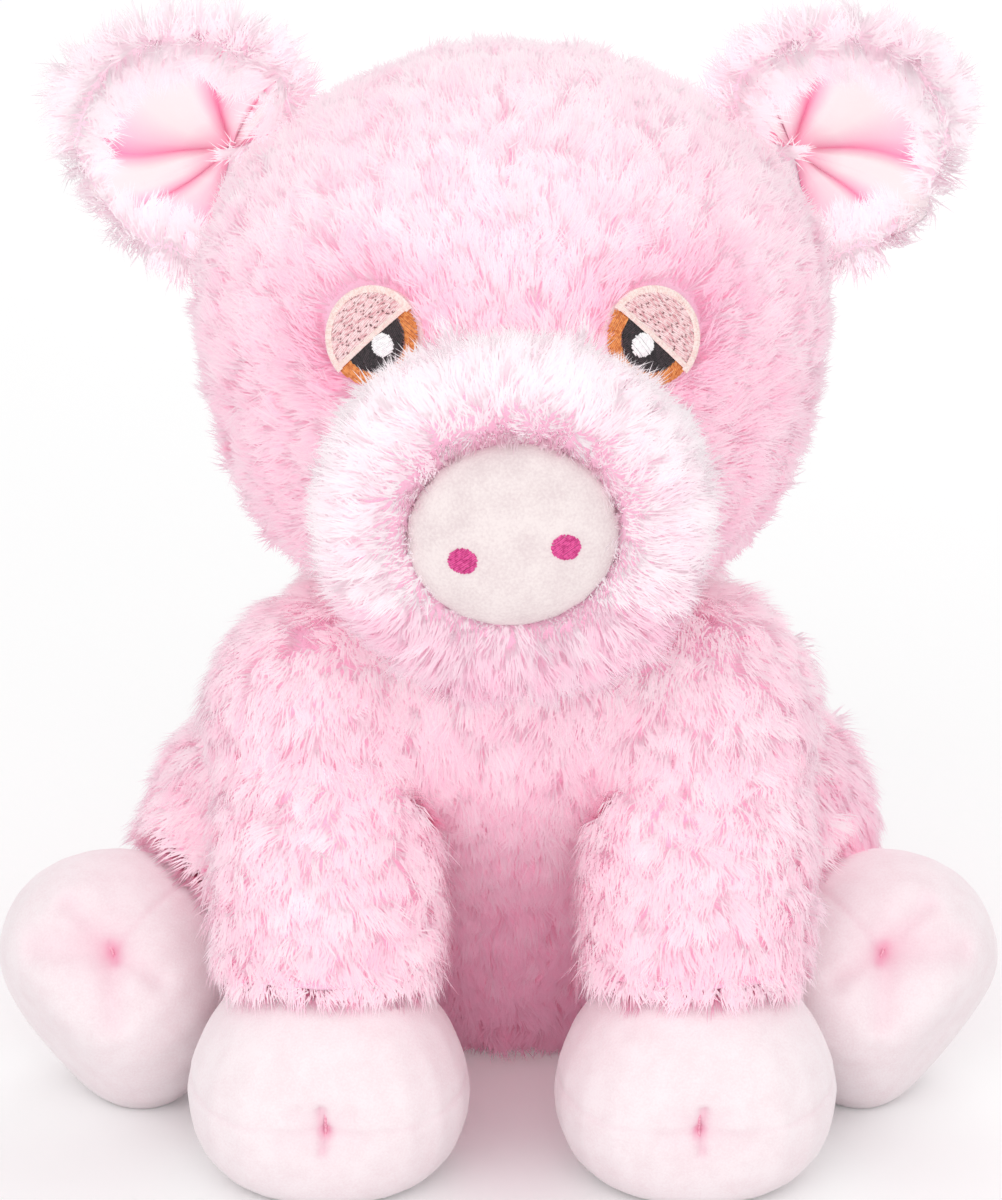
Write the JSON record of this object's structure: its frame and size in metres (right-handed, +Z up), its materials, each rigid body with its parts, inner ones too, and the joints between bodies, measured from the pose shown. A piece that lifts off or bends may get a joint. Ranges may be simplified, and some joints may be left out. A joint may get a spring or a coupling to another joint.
{
  "type": "plush pig",
  "caption": "Stuffed plush pig that sits upright on a flat seat, with long pink pile, a round snout, cupped ears lined in velour, smooth hooves and a curled tail.",
  "frame": {"origin": "middle of the flat seat under the body, on the surface the pig sits on", "axes": "+Z up, -Y the way the pig looks, +X to the right in the picture (the pig's own left)"},
  "size_m": [0.2132, 0.2214, 0.2371],
  "materials": {
    "pink_fur": "long soft plush pile",
    "pale_fur": "long pale plush pile",
    "cream_velour": "short velour pile",
    "ear_velour": "short crumpled velour pile",
    "hoof_velboa": "smooth short velboa pile",
    "magenta_thread": "satin embroidery thread",
    "lid_thread": "satin embroidery thread",
    "amber_thread": "satin embroidery thread",
    "black_thread": "satin embroidery thread",
    "white_thread": "satin embroidery thread",
    "stitch_thread": "twisted tie thread"
  },
  "bodies": {
    "torso": {"torso": "pink_fur"},
    "head": {"head": "pink_fur", "muzzle": "pale_fur", "snout_disc": "cream_velour", "nostril_left": "magenta_thread", "nostril_right": "magenta_thread", "eye_left_lid": "lid_thread", "eye_left_iris": "amber_thread", "eye_left_pupil": "black_thread", "eye_left_highlight": "white_thread", "eye_right_lid": "lid_thread", "eye_right_iris": "amber_thread", "eye_right_pupil": "black_thread", "eye_right_highlight": "white_thread"},
    "ear_left": {"ear_left_outer": "pink_fur", "ear_left_lining": "ear_velour"},
    "front_leg_left": {"front_leg_left": "pink_fur", "front_hoof_left": "hoof_velboa", "front_hoof_left_stitch": "stitch_thread"},
    "rear_leg_left": {"rear_leg_left": "pink_fur", "rear_hoof_left": "hoof_velboa", "rear_hoof_left_stitch": "stitch_thread"},
    "ear_right": {"ear_right_outer": "pink_fur", "ear_right_lining": "ear_velour"},
    "front_leg_right": {"front_leg_right": "pink_fur", "front_hoof_right": "hoof_velboa", "front_hoof_right_stitch": "stitch_thread"},
    "rear_leg_right": {"rear_leg_right": "pink_fur", "rear_hoof_right": "hoof_velboa", "rear_hoof_right_stitch": "stitch_thread"},
    "tail": {"tail": "pink_fur"}
  },
  "joints": [
    {"name": "head_turn", "type": "hinge", "parent": "torso", "child": "head", "pos_m": [0, -0.042, 0.1], "axis": [0, 0, 1], "range_deg": [-20, 20], "stiffness_Nm_per_rad": 0.3},
    {"name": "ear_left_fold", "type": "hinge", "parent": "head", "child": "ear_left", "pos_m": [-0.0505, -0.038, 0.2062], "axis": [-0.2588, 0, -0.9659], "range_deg": [-15, 15], "stiffness_Nm_per_rad": 0.02},
    {"name": "front_leg_left_swing", "type": "hinge", "parent": "torso", "child": "front_leg_left", "pos_m": [-0.038, -0.068, 0.09], "axis": [-1, 0, 0], "range_deg": [0, 30], "stiffness_Nm_per_rad": 0.2},
    {"name": "rear_leg_left_spread", "type": "hinge", "parent": "torso", "child": "rear_leg_left", "pos_m": [-0.046, -0.026, 0.051], "axis": [0, 0, -1], "range_deg": [0, 25], "stiffness_Nm_per_rad": 0.2},
    {"name": "ear_right_fold", "type": "hinge", "parent": "head", "child": "ear_right", "pos_m": [0.0505, -0.038, 0.2062], "axis": [0.2588, 0, -0.9659], "range_deg": [-15, 15], "stiffness_Nm_per_rad": 0.02},
    {"name": "front_leg_right_swing", "type": "hinge", "parent": "torso", "child": "front_leg_right", "pos_m": [0.038, -0.068, 0.09], "axis": [-1, 0, 0], "range_deg": [0, 30], "stiffness_Nm_per_rad": 0.2},
    {"name": "rear_leg_right_spread", "type": "hinge", "parent": "torso", "child": "rear_leg_right", "pos_m": [0.046, -0.026, 0.051], "axis": [0, 0, 1], "range_deg": [0, 25], "stiffness_Nm_per_rad": 0.2},
    {"name": "tail_wag", "type": "hinge", "parent": "torso", "child": "tail", "pos_m": [0, 0.0452, 0.042], "axis": [0, 0, 1], "range_deg": [-20, 20], "stiffness_Nm_per_rad": 0.005}
  ]
}
